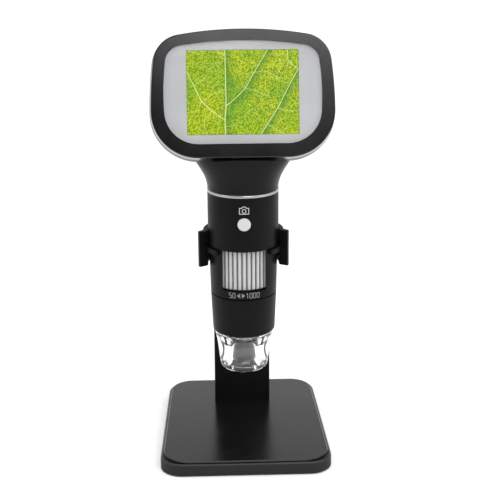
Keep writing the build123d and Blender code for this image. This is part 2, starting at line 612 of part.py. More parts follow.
def make_board_chips():
    face = BOARD_FRONT
    chips = [((-6, 6), (-2, 10), 1.3), ((10, 18), (1, 12), 1.1), ((-20, -12), (2, 9), 1.0),
             ((-18, -13), (-12, -7), 1.6), ((12, 20), (-12, -9), 1.4)]
    return [head_block(u, v, (face - height, face)) for u, v, height in chips]


def make_key_switches():
    start = BOARD_FRONT + BOARD_T
    half = 2.2
    switches = []
    for u in REAR_KEYS.values():
        body = head_block((u - half, u + half), (KEY_V - half, KEY_V + half), (start, start + 2.0))
        switches.append(body + head_rod(1.1, u, KEY_V, start + 2.0, start + 2.5))
    return switches


def make_rear_key(u):
    cap = Pos(u, KEY_V, -HEAD_T - KEY_PROUD) * extrude(Circle(KEY_R), KEY_PROUD + SHELL_WALL + 0.9)
    cap = fillet(cap.edges().group_by(Axis.Z)[0], 0.5)
    flange_front = HEAD_T - SHELL_WALL - 0.3 - 0.8
    flange = Pos(u, KEY_V, -flange_front - 0.8) * extrude(Circle(KEY_R + 0.9), 0.8)
    stem_front = BOARD_FRONT + BOARD_T + 2.5 + 0.6
    stem = Pos(u, KEY_V, -flange_front) * extrude(Circle(1.2), flange_front - stem_front)
    return HEAD * (cap + flange + stem)


def make_battery():
    cell = head_block((-21, 21), (-17.5, 9.5), (11.2, 16.2))
    return fillet(cell.edges().filter_by(Axis.X), 1.5)


def make_usb_socket():
    start = BOARD_FRONT + BOARD_T
    shell = head_block((33.0, USB_END), (PORT_V - 3.8, PORT_V + 3.8), (start, start + 2.7))
    shell -= head_block((34.0, 45), (PORT_V - 3.3, PORT_V + 3.3), (start + 0.4, start + 2.3))
    tongue = head_block((33.5, USB_END - 1.0), (PORT_V - 2.0, PORT_V + 2.0), (start + 1.5, start + 2.0))
    return shell + tongue


def make_card_socket():
    start = BOARD_FRONT + BOARD_T
    shell = head_block((-CARD_END, -24.0), (PORT_V - 5.6, PORT_V + 5.6), (start, start + 1.4))
    return shell - head_block((-45, -26.0), (PORT_V - 5.2, PORT_V + 5.2), (start + 0.3, start + 1.1))


def make_head_screws():
    fixing = screw(HEAD_T - 4.0 - LEDGE_BACK - 0.8, 0.95, 2.1, 1.2)
    return [HEAD * Pos(u, v, -HEAD_T + 4.0) * fixing for u, v in boss_places()]


def face_point(v, depth):
    """(y, z) of a point of the head's middle plane."""
    point = HEAD.from_local_coords(Vector(0, v, -depth))
    return point.Y, point.Z


CABLE_Y = BARREL_Y - 4.0


def make_sensor_cable():
    board_back = BOARD_FRONT + BOARD_T
    path = [(CABLE_Y, 113.2), (CABLE_Y, 146.0), face_point(BOARD_LOW_V + 1.5, board_back + 0.16),
            face_point(BOARD_LOW_V + 3.5, board_back + 0.16)]
    return ribbon(path, 0.3, 4.0)


def make_display_cable():
    low = PANEL_V - PANEL_H / 2
    path = [face_point(low + 1.6, PANEL_FRONT + PANEL_T + 1.76), face_point(low - 1.0, 7.0),
            face_point(BOARD_LOW_V + 1.0, BOARD_FRONT - 0.16),
            face_point(BOARD_LOW_V + 3.5, BOARD_FRONT - 0.16)]
    return ribbon(path, 0.3, 9.0)


NODES = {
    "base_shell": make_base_shell(),
    "base_cover": make_base_cover(),
    "base_weight": make_base_weight(),
    "base_feet": make_base_feet(),
    "base_screws": make_base_screws(),
    "column": make_column(),
    "column_screws": make_column_screws(),
    "holder_clip": make_holder_clip(),
    "clamp_insert": make_clamp_insert(),
    "clamp_plate": make_clamp_plate(),
    "clamp_knob": make_clamp_knob(),
    "clamp_stud": make_clamp_stud(),
    "upper_barrel": make_upper_barrel(),
    "trim_ring": make_trim_ring(),
    "middle_barrel": make_middle_barrel(),
    "lower_sleeve": make_lower_sleeve(),
    "focus_wheel": make_focus_wheel(),
    "lens_carrier": make_lens_carrier(),
    "lens_elements": make_lens_elements(),
    "lens_guide": make_lens_guide(),
    "sensor_board": make_sensor_board(),
    "image_sensor": make_image_sensor(),
    "led_board": make_led_board(),
    "leds": make_leds(),
    "clear_tip": make_clear_tip(),
    "capture_button": make_capture_button(),
    "capture_switch": make_capture_switch(),
    "button_board": make_button_board(),
    "rear_shell": make_rear_shell(),
    "front_bezel": make_front_bezel(),
    "display_window": make_display_window(),
    "lcd_panel": make_lcd_panel(),
    "backlight": make_backlight(),
    "main_board": make_main_board(),
    "board_chips": make_board_chips(),
    "key_switches": make_key_switches(),
    "battery": make_battery(),
    "usb_socket": make_usb_socket(),
    "card_socket": make_card_socket(),
    "head_screws": make_head_screws(),
    "sensor_cable": make_sensor_cable(),
    "display_cable": make_display_cable(),
}
for key_name, key_place in REAR_KEYS.items():
    NODES[key_name] = make_rear_key(key_place)

os.makedirs("parts", exist_ok=True)
for name, shape in NODES.items():
    solid = Compound(children=shape) if isinstance(shape, list) else shape
    export_step(solid, f"parts/{name}.step")
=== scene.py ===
import json
from math import atan2, cos, inf, pi, radians, sin

import bpy
from mathutils import Euler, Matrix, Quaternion, Vector


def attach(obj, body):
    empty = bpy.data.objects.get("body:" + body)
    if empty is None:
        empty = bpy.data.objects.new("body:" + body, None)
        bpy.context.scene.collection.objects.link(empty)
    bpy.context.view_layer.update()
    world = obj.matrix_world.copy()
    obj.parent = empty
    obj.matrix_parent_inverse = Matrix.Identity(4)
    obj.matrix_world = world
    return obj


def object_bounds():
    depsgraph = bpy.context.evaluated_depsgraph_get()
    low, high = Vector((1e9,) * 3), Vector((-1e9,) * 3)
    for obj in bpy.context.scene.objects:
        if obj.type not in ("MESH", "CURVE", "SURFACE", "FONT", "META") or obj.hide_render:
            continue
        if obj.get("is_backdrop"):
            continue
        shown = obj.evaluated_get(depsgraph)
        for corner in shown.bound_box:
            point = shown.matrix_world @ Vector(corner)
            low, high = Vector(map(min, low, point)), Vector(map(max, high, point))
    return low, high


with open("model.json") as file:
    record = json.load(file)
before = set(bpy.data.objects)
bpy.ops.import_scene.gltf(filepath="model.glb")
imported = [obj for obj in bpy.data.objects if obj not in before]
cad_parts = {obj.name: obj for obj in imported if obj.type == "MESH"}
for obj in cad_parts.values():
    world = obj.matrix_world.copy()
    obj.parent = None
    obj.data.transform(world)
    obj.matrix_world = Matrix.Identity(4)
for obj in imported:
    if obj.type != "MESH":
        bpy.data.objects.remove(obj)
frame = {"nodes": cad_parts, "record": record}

# Looks of the digital microscope. Lengths are in metres, unless a name ends in _MM or a
# comment says mm. Colours are linear.
cad_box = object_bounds()
MM = 0.001

# ---- Places taken over from the model ----
BARREL_Y = -19.1 * MM                                # the barrel's axis
UPPER_R = 16.4 * MM
MIDDLE_TOP_R, MIDDLE_TOP_Z = 15.95 * MM, 105.5 * MM  # step under the upper barrel
SEAM_R, SEAM_Z = 15.4 * MM, 82.0 * MM                # lower end of the middle barrel
WHEEL_R, WHEEL_GROOVE_R = 14.2 * MM, 13.0 * MM       # the focus wheel, on and between its ribs
RIM_SIDE_Z, RIM_TOP_Z = 5.2 * MM, 6.2 * MM           # where the base's side turns into its top
TILT = radians(15)                                   # the display leans back by this
FACE_CENTRE = Vector((0, -33.05, 177.7)) * MM
FACE_UP = Vector((0, sin(TILT), cos(TILT)))
FACE_NORMAL = Vector((0, -cos(TILT), sin(TILT)))
GLASS_REAR = 1.45 * MM                               # depth of the display glass's rear face

# ---- Camera: the photograph's viewing angle ----
VIEW_YAW, VIEW_PITCH, VIEW_ROLL = radians(2.0), radians(17.2), radians(-0.35)
VIEW_PLACE = Vector((-14.5, -523.5, 258.0)) * MM
FOCAL_MM = 81.4


def add_camera():
    data = bpy.data.cameras.new("view")
    data.lens = FOCAL_MM
    camera = bpy.data.objects.new("view", data)
    camera.location = VIEW_PLACE
    aim = Euler((pi / 2 - VIEW_PITCH, 0, -VIEW_YAW)).to_quaternion()
    camera.rotation_euler = (aim @ Quaternion((0, 0, 1), VIEW_ROLL)).to_euler()
    bpy.context.scene.collection.objects.link(camera)
    bpy.context.scene.camera = camera


# ---- Material helpers ----
NOISE_LOW, NOISE_HIGH = 0.3, 0.7    # most of a noise texture's values lie between these


def rgba(colour):
    """A colour socket's value from three numbers; a node's output stays as it is."""
    return (*colour, 1) if isinstance(colour, tuple) else colour


class Finish:
    """A node material on one principled shader, read in the part's own coordinates."""

    def __init__(self, name, metallic=0.0, specular=0.5):
        self.name = name
        self.material = bpy.data.materials.new(name)
        self.material.use_nodes = True
        self.tree = self.material.node_tree
        self.shader = self.tree.nodes["Principled BSDF"]
        self.set("Metallic", metallic)
        self.set("Specular IOR Level", specular)
        self.place = self.add("ShaderNodeTexCoord").outputs["Object"]

    def add(self, kind, inputs=None, **settings):
        node = self.tree.nodes.new(kind)
        for key, value in settings.items():
            setattr(node, key, value)
        for key, value in (inputs or {}).items():
            if hasattr(value, "is_output"):
                self.tree.links.new(value, node.inputs[key])
            else:
                node.inputs[key].default_value = value
        return node

    def set(self, socket, value):
        self.shader.inputs[socket].default_value = value

    def feed(self, socket, output):
        self.tree.links.new(output, self.shader.inputs[socket])

    def noise(self, size, detail=2.0, stretch=(1, 1, 1)):
        """Noise whose features are about size metres across."""
        place = self.add("ShaderNodeMapping", {"Vector": self.place, "Scale": stretch})
        return self.add("ShaderNodeTexNoise", {
            "Vector": place.outputs[0], "Scale": 1 / size, "Detail": detail}).outputs["Fac"]

    def cells(self, size, output, **settings):
        """A pattern of cells about size metres across."""
        return self.add("ShaderNodeTexVoronoi", {"Vector": self.place, "Scale": 1 / size},
                        **settings).outputs[output]

    def spread(self, value, low, high, start=NOISE_LOW, end=NOISE_HIGH):
        """Maps a texture's value from start..end to low..high."""
        return self.add("ShaderNodeMapRange", {
            "Value": value, "From Min": start, "From Max": end,
            "To Min": low, "To Max": high}).outputs[0]

    def uneven(self, low, high, size):
        """A number that drifts between low and high."""
        return self.spread(self.noise(size), low, high)

    def mix(self, share, first, second):
        return self.add("ShaderNodeMix", {0: share, 6: rgba(first), 7: rgba(second)},
                        data_type="RGBA").outputs[2]

    def drift(self, first, second, size, detail=3.0):
        """A colour that drifts between two colours."""
        return self.mix(self.spread(self.noise(size, detail), 0, 1), first, second)

    def tone(self, *drift):
        self.feed("Base Color", self.drift(*drift))

    def glow(self, colour):
        """Lit from behind: nearly all of the colour is given off."""
        self.set("Base Color", (0.01, 0.01, 0.01, 1))
        self.feed("Emission Color", colour)
        self.set("Emission Strength", 1.0)

    def roughen(self, low, high, size):
        self.feed("Roughness", self.uneven(low, high, size))

    def bump(self, height, depth):
        node = self.add("ShaderNodeBump", {"Height": height, "Distance": depth})
        self.feed("Normal", node.outputs[0])


def grey(value):
    """A grey with a trace of blue."""
    return (value, value, value * 1.04)


# ---- Plastics and metals ----
COLOUR_SIZE, GLOSS_SIZE = 0.009, 0.014    # how far apart a moulding's colour and gloss drift
GLOSS_SPREAD = 0.04                       # how far its roughness drifts either way
GRAIN_SIZE, GRAIN_DEPTH = 0.00035, 0.000012
MARK_SIZE, MARK_DEPTH = 0.0012, 0.000006  # turning marks on metal
MARK_SHADE = 0.86                         # how bright the colour is in them
TOP_ROUGHNESS, SIDE_ROUGHNESS = (0.18, 0.26), 0.75
RIB_DARK, RIB_LIGHT = (0.46, 0.46, 0.47), (0.52, 0.52, 0.53)
# Painted shade: the colour of the wheel's groove floors, darker than the ribs to stand in for the
# shade down in them.
GROOVE_PAINTED_SHADE = (0.17, 0.17, 0.175)

# Dark and light grey, roughness, specular level, and the grain's size and depth if they
# aren't the usual ones.
MOULDED = {
    "column_metal": (0.0048, 0.0062, 0.34, 0.10, 0.0006, 0.00002),
    "clip_plastic": (0.0034, 0.0046, 0.50, 0.10),
    "barrel_plastic": (0.0028, 0.0038, 0.42, 0.10, 0.00022),
    "head_plastic": (0.0028, 0.0038, 0.32, 0.14, 0.0003),
    "bezel_plastic": (0.0028, 0.0038, 0.15, 0.45, 0.0003),
    "key_plastic": (0.52, 0.58, 0.30, 0.50),
    "rear_key_rubber": (0.035, 0.05, 0.65, 0.25, 0.0002),
    "foot_rubber": (0.018, 0.028, 0.80, 0.20, 0.0005, 0.00004),
    "nose_grey": (0.075, 0.095, 0.42, 0.35),
    "black_optic": (0.010, 0.014, 0.60, 0.20),
    "backlight_white": (0.72, 0.80, 0.50, 0.40),
    "chip_black": (0.015, 0.025, 0.55, 0.35),
    "lcd_glass": (0.02, 0.03, 0.20, 0.50),
    "led_white": (0.70, 0.82, 0.30, 0.50),
}
# Colour, lowest and highest roughness, and how the marks are squeezed along each axis.
METALS = {
    "battery_pouch": ((0.55, 0.57, 0.60), 0.35, 0.5),
    "trim_metal": ((0.38, 0.38, 0.39), 0.16, 0.26, (1, 1, 9)),
    "steel": ((0.62, 0.62, 0.63), 0.28, 0.42),
    "brass": ((0.80, 0.60, 0.28), 0.28, 0.42, (1, 5, 1)),
    "weight_iron": ((0.32, 0.32, 0.33), 0.55, 0.75),
}
# Tint, highest roughness, index of refraction and depth of the swirl.
CLEARS = {
    "clear_plastic": ((0.98, 0.99, 1.0), 0.03, 1.49, 0.000004),
    "lens_glass": ((0.90, 0.96, 1.0), 0.01, 1.52, 0.000004),
    "window_panel": ((0.97, 0.98, 1.0), 0.02, 1.22, 0.0000005),
}
INKS = {"ink_grey": 0.48, "ink_faint": 0.20}


def plastic(name, dark, light, specular, grain=GRAIN_SIZE, depth=GRAIN_DEPTH):
    """Injection-moulded plastic with a fine spark-eroded grain; its gloss is set apart."""
    finish = Finish(name, specular=specular)
    finish.tone(grey(dark), grey(light), COLOUR_SIZE)
    finish.bump(finish.noise(grain, 3.0), depth)
    return finish


def moulded(name, dark, light, roughness, specular, *grain):
    finish = plastic(name, dark, light, specular, *grain)
    finish.roughen(roughness - GLOSS_SPREAD, roughness + GLOSS_SPREAD, GLOSS_SIZE)
    return finish


def stand_finish():
    """Satin black plastic, smoother on the platform than on the rim's coarser sides."""
    finish = plastic("stand_plastic", 0.0042, 0.0056, 0.45)
    height = finish.add("ShaderNodeSeparateXYZ", {0: finish.place}).outputs["Z"]
    share = finish.spread(height, 0, 1, RIM_SIDE_Z, RIM_TOP_Z)
    top = finish.uneven(*TOP_ROUGHNESS, GLOSS_SIZE)
    finish.feed("Roughness", finish.add("ShaderNodeMix", {0: share, 2: SIDE_ROUGHNESS, 3: top},
                                        data_type="FLOAT").outputs[0])
    return finish


def wheel_finish():
    """Moulded grey plastic, with painted shade down in the grooves between the wheel's ribs."""
    finish = Finish("wheel_plastic", specular=0.4)
    offset = finish.add("ShaderNodeMapping", {
        "Vector": finish.place, "Location": (0, -BARREL_Y, 0), "Scale": (1, 1, 0)})
    radius = finish.add("ShaderNodeVectorMath", {0: offset.outputs[0]},
                        operation="LENGTH").outputs["Value"]
    share = finish.spread(radius, 0, 1, WHEEL_GROOVE_R, WHEEL_R)
    rib = finish.drift(RIB_DARK, RIB_LIGHT, 0.006, 2.0)
    # Painted shade: towards the groove floors the rib colour gives way to the darker groove colour.
    finish.feed("Base Color", finish.mix(share, GROOVE_PAINTED_SHADE, rib))
    finish.roughen(0.36, 0.46, 0.01)
    finish.bump(finish.noise(0.0003, 3.0), 0.00001)
    return finish


def metal(name, colour, low, high, stretch=(1, 1, 1)):
    """Bare metal with fine turning or brushing marks."""
    finish = Finish(name, metallic=1.0)
    marks = finish.noise(MARK_SIZE, 4.0, stretch)
    shaded = tuple(c * MARK_SHADE for c in colour)
    finish.feed("Base Color", finish.mix(finish.spread(marks, 0, 1), shaded, colour))
    finish.feed("Roughness", finish.spread(marks, low, high))
    finish.bump(marks, MARK_DEPTH)
    return finish


def clear(name, tint, roughness, ior, waviness):
    """Clear plastic or glass with a slight moulding swirl."""
    finish = Finish(name)
    finish.set("Transmission Weight", 1.0)
    finish.set("IOR", ior)
    finish.tone(tint, tuple(min(1, c * 1.01) for c in tint), 0.01)
    finish.roughen(roughness / 2, roughness, 0.006)
    finish.bump(finish.noise(0.004, 1.0), waviness)
    return finish


def board_finish():
    finish = Finish("board_green")
    finish.tone((0.012, 0.10, 0.045), (0.02, 0.15, 0.07), 0.003)
    finish.roughen(0.3, 0.45, 0.004)
    finish.bump(finish.noise(0.0008), 0.00002)
    return finish


def film_finish():
    finish = Finish("cable_film")
    finish.tone((0.42, 0.20, 0.03), (0.50, 0.26, 0.05), 0.004)
    finish.roughen(0.28, 0.4, 0.005)
    return finish


def ink_finish(name, level):
    finish = Finish(name)
    finish.tone(grey(level * 0.85), grey(level * 1.15), 0.0006)
    finish.roughen(0.45, 0.6, 0.001)
    return finish


def border_finish():
    """The pale print round the picture."""
    finish = Finish("window_border")
    finish.tone((0.535, 0.535, 0.55), (0.585, 0.585, 0.60), 0.03, 1.0)
    finish.roughen(0.35, 0.45, 0.01)
    return finish


# ---- Finishes of the lit picture ----
LEAF_GREEN, LEAF_YELLOW = (0.33, 0.56, 0.022), (0.72, 0.75, 0.010)
CELL_RIM, CELL_HEART = (0.09, 0.26, 0.006), (0.96, 0.97, 0.08)
DARK_CELL, BESIDE_VEIN = (0.05, 0.19, 0.004), (0.045, 0.24, 0.025)
FINE_NET, WIDE_NET = (0.55, 0.66, 0.06), (0.66, 0.78, 0.16)
VEIN_DARK, VEIN_LIGHT = (0.66, 0.80, 0.20), (0.86, 0.94, 0.42)


def leaf_finish():
    """The lit leaf: speckled cells, a net of pale lines, greener beside the large veins."""
    finish = Finish("leaf_picture", specular=0.0)
    dots = finish.cells(0.00066, "Distance")
    speckle = finish.add("ShaderNodeSeparateColor", {0: finish.cells(0.0011, "Color")}).outputs[0]
    shade = finish.add("ShaderNodeAttribute", attribute_name="shade").outputs["Fac"]
    fine = finish.cells(0.0019, "Distance", feature="DISTANCE_TO_EDGE")
    wide = finish.cells(0.0056, "Distance", feature="DISTANCE_TO_EDGE")
    body = finish.mix(finish.spread(finish.noise(0.013, 3.0), 0, 1, 0.35, 0.65),
                      LEAF_GREEN, LEAF_YELLOW)
    # The share of each layer's colour runs from low to high as its pattern runs from start to
    # end: pattern, low, high, start, end, colour.
    for pattern, low, high, start, end, colour in (
            (dots, 0, 0.85, 0.32, 0.68, CELL_RIM),
            (dots, 0.80, 0, 0.05, 0.34, CELL_HEART),
            (speckle, 0.25, 0, 0.0, 0.5, DARK_CELL),
            (shade, 0, 0.85, 0, 1, BESIDE_VEIN),
            (fine, 0.18, 0, 0.02, 0.08, FINE_NET),
            (wide, 0.45, 0, 0.004, 0.018, WIDE_NET)):
        body = finish.mix(finish.spread(pattern, low, high, start, end), body, colour)
    finish.glow(body)
    finish.roughen(0.3, 0.4, 0.01)
    return finish


def vein_finish():
    finish = Finish("leaf_veins", specular=0.0)
    finish.glow(finish.drift(VEIN_DARK, VEIN_LIGHT, 0.002, 2.0))
    finish.set("Roughness", 0.35)
    return finish


def make_materials():
    made = [moulded(name, *look) for name, look in MOULDED.items()]
    made += [metal(name, *look) for name, look in METALS.items()]
    made += [clear(name, *look) for name, look in CLEARS.items()]
    made += [ink_finish(name, level) for name, level in INKS.items()]
    made += [stand_finish(), wheel_finish(), board_finish(), film_finish(), border_finish(),
             leaf_finish(), vein_finish()]
    return {finish.name: finish.material for finish in made}


def dress_nodes(materials):
    """Every node of the model gets the finish of its slot; the bezel is glossier than its."""
    for part in frame["record"]["subparts"]:
        finish = "bezel_plastic" if part["node"] == "front_bezel" else part["material_slot"]
        mesh = frame["nodes"][part["node"]].data
        mesh.materials.clear()
        mesh.materials.append(materials[finish])


# ---- Places on the part's surfaces ----
def on_face(u, v, height):
    """A point on the display side: across, up the face, and out from the glass's rear face."""
    return FACE_CENTRE + Vector((u, 0, 0)) + FACE_UP * v + FACE_NORMAL * (height - GLASS_REAR)


def barrel_radius(z):
    if z > MIDDLE_TOP_Z:
        return UPPER_R
    return SEAM_R + (MIDDLE_TOP_R - SEAM_R) * (z - SEAM_Z) / (MIDDLE_TOP_Z - SEAM_Z)


def on_barrel(u, v, height):
    """A point on the barrel: round it from the front, its height, and out from its surface."""
    radius = barrel_radius(v)
    angle = u / radius
    return Vector(((radius + height) * sin(angle), BARREL_Y - (radius + height) * cos(angle), v))


# ---- Mesh helpers ----
MITRE_LIMIT = 0.5    # a bend's corner reaches out to at most twice the half width


def add_piece(name, vertices, faces, material, body, slot):
    mesh = bpy.data.meshes.new(name)
    mesh.from_pydata([tuple(v) for v in vertices], [], faces)
    mesh.materials.append(material)
    piece = bpy.data.objects.new(name, mesh)
    bpy.context.scene.collection.objects.link(piece)
    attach(piece, body)
    return piece


def resample(path, step):
    """Points about step apart along a path of straight runs."""
    points = [Vector(path[0])]
    for start, end in zip(path, path[1:]):
        start, end = Vector(start), Vector(end)
        count = max(1, round((end - start).length / step))
        points += [start.lerp(end, i / count) for i in range(1, count + 1)]
    return points


def smooth_path(path, step):
    """A Catmull-Rom curve through the given points."""
    points = [Vector(p) for p in path]
    points = [points[0] * 2 - points[1], *points, points[-1] * 2 - points[-2]]
    curve = []
    for a, b, c, d in zip(points, points[1:], points[2:], points[3:]):
        count = max(2, round((c - b).length / step))
        for i in range(count):
            t = i / count
            curve.append(0.5 * ((2 * b) + (c - a) * t + (2 * a - 5 * b + 4 * c - d) * t ** 2
                                + (3 * b - a - 3 * c + d) * t ** 3))
    curve.append(points[-2])
    return curve


def stroke(points, widths, place, low, high, closed=False):
    """A thin bar along a path on a surface, with mitred bends and a width for each end."""
    count = len(points)
    vertices, faces = [], []
    for i, point in enumerate(points):
        before = points[i - 1] if closed or i else point
        after = points[(i + 1) % count] if closed or i < count - 1 else point
        first = (point - before).normalized() if (point - before).length else None
        second = (after - point).normalized() if (after - point).length else None
        first, second = first or second, second or first
        along = (first + second).normalized()
        side = Vector((-along.y, along.x))
        half = (widths[0] + (widths[1] - widths[0]) * i / (count - 1)) / 2
        half /= max(MITRE_LIMIT, along.dot(first))
        for sign, height in ((-1, low), (1, low), (1, high), (-1, high)):
            spot = point + side * half * sign
            vertices.append(place(spot.x, spot.y, height))
    for i in range(count if closed else count - 1):
        a, b = 4 * i, 4 * ((i + 1) % count)
        for j in range(4):
            k = (j + 1) % 4
            faces.append((a + j, b + j, b + k, a + k))
    if not closed:
        faces += [(3, 2, 1, 0), tuple(range(4 * count - 4, 4 * count))]
    return vertices, faces


def prism(outline, place, low, high):
    """A filled flat shape, as a thin closed plate on a surface."""
    count = len(outline)
    vertices = [place(u, v, height) for height in (low, high) for u, v in outline]
    faces = [tuple(reversed(range(count))), tuple(range(count, 2 * count))]
    for i in range(count):
        j = (i + 1) % count
        faces.append((i, j, count + j, count + i))
    return vertices, faces


def join(parts):
    vertices, faces = [], []
    for more_vertices, more_faces in parts:
        start = len(vertices)
        vertices += more_vertices
        faces += [tuple(start + i for i in face) for face in more_faces]
    return vertices, faces


def circle(centre, radius, count):
    return [Vector((centre[0] + radius * cos(2 * pi * i / count),
                    centre[1] + radius * sin(2 * pi * i / count))) for i in range(count)]


# ---- The lit picture: a leaf and its veins ----
PICTURE_W, PICTURE_H = 49.0 * MM, 36.7 * MM
PICTURE_V = 0.5 * MM                   # the picture's middle, up from the face's
PICTURE_STEP = 0.5 * MM
PICTURE_OUT = 0.05 * MM                # the picture lies this far into the glass
VEIN_PROUD = 0.03 * MM
SHADED = [0, 1, 3]                     # veins with a dark green band, mostly on their right
BAND_RIGHT, BAND_LEFT = 5.0 * MM, 1.6 * MM
BAND_FADE = 1.3                        # how soon a band fades out
LEFT_SHARE = 0.7                       # the left band's darkness, the right one's being 1

# Veins in mm from the picture's middle, each with its width at both ends.
VEINS = [
    ([(-7.6, 18.3), (-7.5, 6.0), (-7.5, -6.0), (-8.0, -12.0), (-7.8, -18.3)], (0.36, 0.52)),
    ([(-7.5, -6.0), (-3.8, -3.0), (1.0, 1.8), (5.0, 8.5), (11.0, 18.3)], (0.34, 0.30)),
    ([(-8.0, -12.0), (-13.4, -8.2), (-17.9, -3.8), (-21.4, 3.1), (-24.4, 9.0)], (0.34, 0.30)),
    ([(7.7, -18.3), (10.4, -14.2), (15.0, -7.2), (19.8, 1.9), (24.4, 10.0)], (0.34, 0.30)),
    ([(-7.6, 16.2), (-9.6, 17.2), (-11.4, 18.3)], (0.26, 0.20)),
    ([(19.8, 18.3), (20.0, 13.6), (24.4, 10.0)], (0.24, 0.22)),
    ([(13.6, 18.3), (17.0, 12.0), (15.0, 6.5), (20.5, 3.4)], (0.14, 0.12)),
    ([(15.0, -7.2), (20.0, -8.4), (24.4, -8.0)], (0.16, 0.12)),
    ([(10.4, -14.2), (15.0, -16.6), (18.0, -18.3)], (0.16, 0.12)),
    ([(1.0, 1.8), (6.5, 0.2), (12.4, -2.6)], (0.14, 0.10)),
    ([(5.0, 8.5), (10.0, 9.0), (15.0, 6.5)], (0.14, 0.10)),
    ([(-17.9, -3.8), (-13.0, -0.5), (-7.5, 1.0)], (0.12, 0.10)),
    ([(-21.4, 3.1), (-16.5, 6.4), (-13.0, 12.0), (-7.6, 13.6)], (0.12, 0.10)),
    ([(-13.4, -8.2), (-17.0, -12.4), (-16.0, -18.3)], (0.12, 0.10)),
    ([(-24.4, -8.5), (-20.4, -8.0), (-17.9, -3.8)], (0.12, 0.10)),
    ([(-7.8, -15.0), (-2.0, -14.6), (3.0, -18.3)], (0.12, 0.10)),
]


def shaded_runs():
    """The straight runs of the veins that have a band, in metres."""
    runs = []
    for index in SHADED:
        path = [Vector(p) * MM for p in VEINS[index][0]]
        runs += zip(path, path[1:])
    return runs


def vein_shade(spot, runs):
    """How dark the leaf is at a point: darker just right of the large veins."""
    dark = 0.0
    for a, b in runs:
        run = b - a
        t = max(0.0, min(1.0, (spot - a).dot(run) / run.length_squared))
        gap = spot - (a + run * t)
        upward = run if run.y > 0 else -run
        right = gap.dot(Vector((upward.y, -upward.x))) > 0
        near = max(0.0, 1 - gap.length / (BAND_RIGHT if right else BAND_LEFT))
        dark = max(dark, near ** BAND_FADE * (1.0 if right else LEFT_SHARE))
    return dark


def add_picture(materials):
    across, up = round(PICTURE_W / PICTURE_STEP), round(PICTURE_H / PICTURE_STEP)
    runs = shaded_runs()
    vertices, shades = [], []
    for j in range(up + 1):
        for i in range(across + 1):
            u = PICTURE_W * (i / across - 0.5)
            v = PICTURE_H * (j / up - 0.5)
            vertices.append(on_face(u, v + PICTURE_V, PICTURE_OUT))
            shades.append(vein_shade(Vector((u, v)), runs))
    row = across + 1
    faces = [(j * row + i, j * row + i + 1, (j + 1) * row + i + 1, (j + 1) * row + i)
             for j in range(up) for i in range(across)]
    piece = add_piece("display_picture", vertices, faces, materials["leaf_picture"],
                      "microscope", "lcd_glass")
    layer = piece.data.attributes.new("shade", "FLOAT", "POINT")
    layer.data.foreach_set("value", shades)
    parts = []
    for path, widths in VEINS:
        curve = smooth_path([(u * MM, v * MM + PICTURE_V) for u, v in path], PICTURE_STEP)
        parts.append(stroke(curve, [w * MM for w in widths], on_face, PICTURE_OUT,
                            PICTURE_OUT + VEIN_PROUD))
    add_piece("picture_veins", *join(parts), materials["leaf_veins"], "microscope", "lcd_glass")


# ---- Printed border behind the display glass ----
BORDER_OUT = 0.08 * MM
BORDER_GAP = 0.1 * MM       # between the picture and the border
BORDER_REACH = 0.997        # share of the way from the middle to the glass's edge


def window_outline():
    """The display glass's outline, from its own mesh, as (u, v) points in order."""
    rim = {}
    for vertex in frame["nodes"]["display_window"].data.vertices:
        offset = vertex.co - FACE_CENTRE
        spot = Vector((offset.x, offset.dot(FACE_UP)))
        rim[round(atan2(spot.y - PICTURE_V, spot.x), 4)] = spot
    return [rim[angle] for angle in sorted(rim)]


def add_window_border(materials):
    """A printed sheet between the glass's outline and the picture's rectangle."""
    rim = window_outline()
    half_w, half_h = PICTURE_W / 2 + BORDER_GAP, PICTURE_H / 2 + BORDER_GAP
    vertices, faces = [], []
    for spot in rim:
        u, v = spot.x, spot.y - PICTURE_V
        inner = min(half_w / abs(u) if u else inf, half_h / abs(v) if v else inf)
        for share in (BORDER_REACH, inner):
            vertices.append(on_face(u * share, v * share + PICTURE_V, BORDER_OUT))
    count = len(rim)
    for i in range(count):
        j = (i + 1) % count
        faces.append((2 * i, 2 * j, 2 * j + 1, 2 * i + 1))
    add_piece("window_border", vertices, faces, materials["window_border"], "microscope",
              "window_panel")


# ---- Printed marks on the barrel ----
INK_LOW, INK_HIGH = -0.02 * MM, 0.03 * MM
INK_STEP = 0.4 * MM

ICON_Z = 125.3 * MM
ICON_LINE = 0.34 * MM
ICON_STEP = 0.5 * MM
# The camera's outline round its middle, in mm.
ICON_BODY = [(-2.1, -1.65), (2.1, -1.65), (2.1, 1.05), (1.05, 1.05), (0.6, 1.67),
             (-0.6, 1.67), (-1.05, 1.05), (-2.1, 1.05), (-2.1, -1.65)]
ICON_LENS_V, ICON_LENS_R = -0.33 * MM, 0.85 * MM
ICON_LENS_POINTS = 32

MARK_U, MARK_Z = -1.7 * MM, 83.3 * MM      # middle of the arrowheads, foot of the digits
NUMBERS = (("50", -5.6 * MM), ("1000", 2.4 * MM))    # each with its start
DIGIT_W, DIGIT_H, DIGIT_PITCH, DIGIT_LINE = 1.15 * MM, 2.4 * MM, 1.7 * MM, 0.30 * MM
ARROW_TIP, ARROW_FLAT = 1.95 * MM, 0.4 * MM
# Strokes of the digits, in boxes 1 wide and 2 high.
DIGITS = {
    "0": [(0, 0.2), (0, 1.8), (0.2, 2), (0.8, 2), (1, 1.8), (1, 0.2), (0.8, 0), (0.2, 0), (0, 0.2)],
    "1": [(0.15, 1.55), (0.6, 2), (0.6, 0)],
    "5": [(0.95, 2), (0.05, 2), (0.05, 1.1), (0.8, 1.1), (1, 0.9), (1, 0.2), (0.8, 0), (0, 0)],
}


